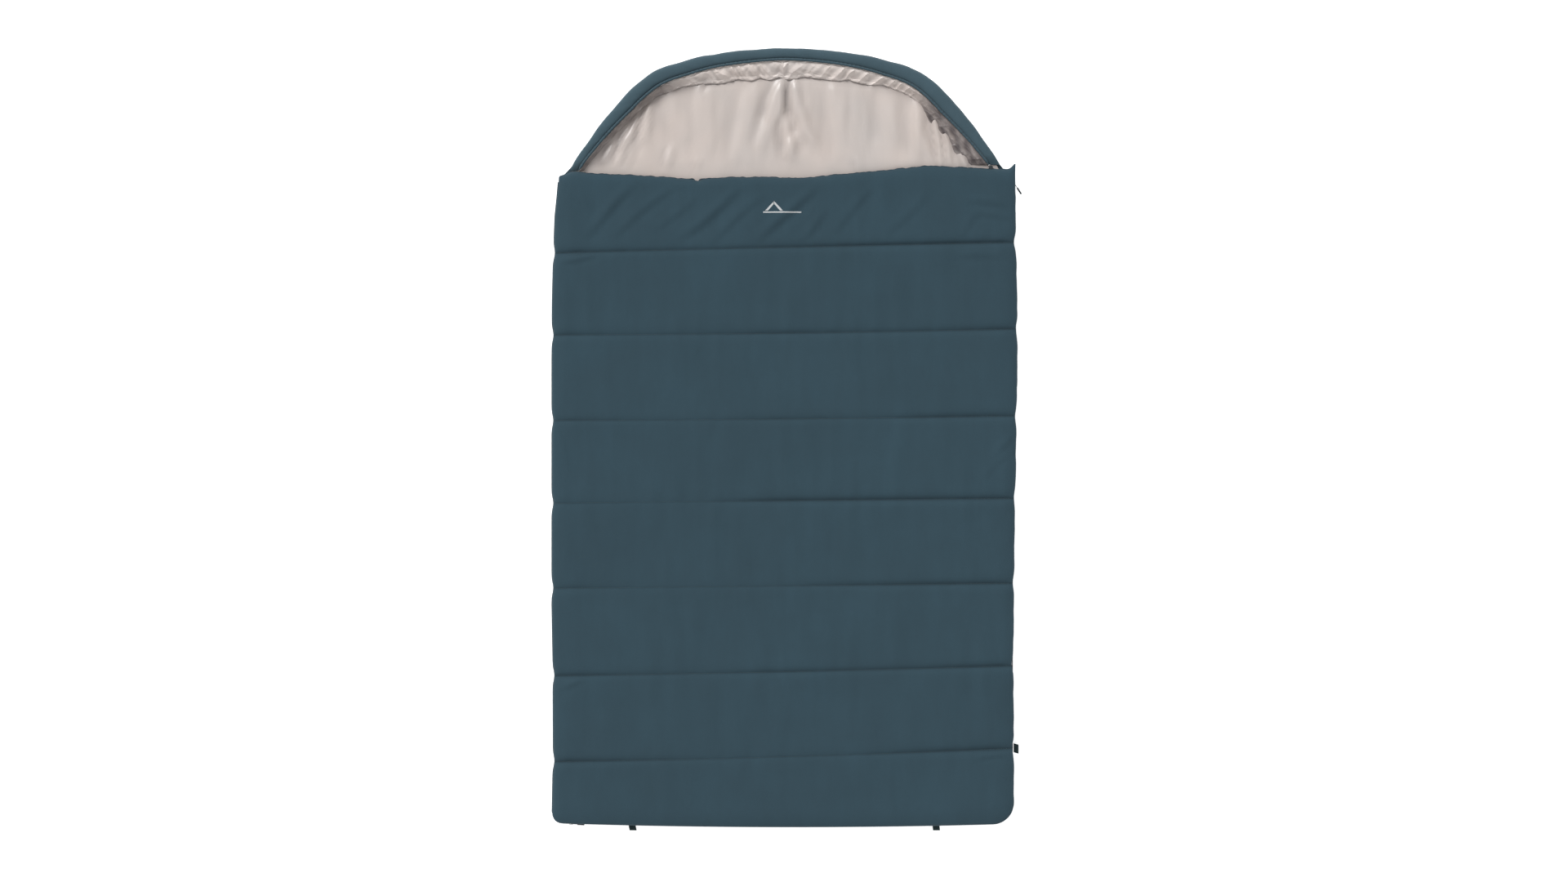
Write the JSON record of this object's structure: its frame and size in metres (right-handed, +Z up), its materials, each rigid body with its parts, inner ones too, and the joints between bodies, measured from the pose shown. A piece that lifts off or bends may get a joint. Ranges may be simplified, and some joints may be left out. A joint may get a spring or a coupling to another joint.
{
  "type": "camp quilt",
  "caption": "Double hooded sleeping bag lying flat, with cross-stitched channels, a padded hood rim and an L-shaped zip that opens it into a quilt.",
  "frame": {"origin": "middle of the footprint, on the ground", "axes": "+Y from the foot to the hood, +X to the zipped side, +Z up"},
  "size_m": [1.416, 2.3558, 0.0768],
  "materials": {
    "shell_teal": "matte brushed polyester",
    "rim_teal": "matte brushed polyester, paler where it bends",
    "lining_sand": "soft satin polyester",
    "fill_white": "hollow-fibre wadding",
    "webbing_dark": "woven webbing and cord",
    "zip_tape": "woven tape",
    "coil_nylon": "satin nylon",
    "slider_metal": "dark satin coating",
    "grip_rubber": "matte moulded",
    "stop_metal": "satin",
    "lock_plastic": "matte moulded",
    "spring_steel": "bright wire",
    "print_grey": "thin printed film"
  },
  "bodies": {
    "base": {"base_shell": "shell_teal", "base_insulation": "fill_white", "base_lining": "lining_sand", "hood_rim_shell": "rim_teal", "hood_rim_padding": "fill_white", "hood_rim_lining": "lining_sand", "drawcord_channel": "rim_teal", "drawcord": "webbing_dark", "drawcord_eyelet": "slider_metal", "cord_lock_barrel": "lock_plastic", "cord_lock_spring": "spring_steel", "left_seam_piping": "rim_teal", "zip_tape_base": "zip_tape", "zip_coil_base": "coil_nylon", "zip_stop_head_base": "stop_metal", "zip_stop_end_base": "stop_metal", "hang_loop_left": "webbing_dark", "hang_loop_right": "webbing_dark", "side_loop": "webbing_dark"},
    "upper_panel": {"upper_shell": "shell_teal", "upper_insulation": "fill_white", "upper_lining": "lining_sand", "mouth_binding": "rim_teal", "zip_corner_flap": "rim_teal", "zip_draught_tube": "lining_sand", "printed_mark": "print_grey", "zip_tape_upper": "zip_tape", "zip_coil_upper": "coil_nylon", "zip_stop_head_upper": "stop_metal", "zip_stop_end_upper": "stop_metal"},
    "side_slider": {"side_slider_body": "slider_metal"},
    "side_tab": {"side_pull_tab": "slider_metal", "side_pull_grip": "grip_rubber"},
    "foot_slider": {"foot_slider_body": "slider_metal"},
    "foot_tab": {"foot_pull_tab": "slider_metal", "foot_pull_grip": "grip_rubber"},
    "lock_button": {"cord_lock_button": "lock_plastic"}
  },
  "joints": [
    {"name": "upper_panel_opening", "type": "hinge", "parent": "base", "child": "upper_panel", "pos_m": [-0.7055, 0, 0.0385], "axis": [0, -1, 0], "range_deg": [0, 180]},
    {"name": "side_zip_travel", "type": "slide", "parent": "base", "child": "side_slider", "axis": [0, -1, 0], "range_m": [0, 1.86]},
    {"name": "side_tab_swing", "type": "hinge", "parent": "side_slider", "child": "side_tab", "pos_m": [0.6851, 0.772, 0.0385], "axis": [0, 0, 1], "range_deg": [-31, 145]},
    {"name": "foot_zip_travel", "type": "slide", "parent": "base", "child": "foot_slider", "axis": [1, 0, 0], "range_m": [0, 1.265]},
    {"name": "foot_tab_swing", "type": "hinge", "parent": "foot_slider", "child": "foot_tab", "pos_m": [-0.6481, -1.1571, 0.0385], "axis": [0, 0, 1], "range_deg": [-174, 2]},
    {"name": "lock_button_press", "type": "slide", "parent": "base", "child": "lock_button", "axis": [0, 0, -1], "range_m": [0, 0.0026], "stiffness_N_per_m": 200, "springref_m": -0.002, "deforming": ["cord_lock_spring"]}
  ]
}
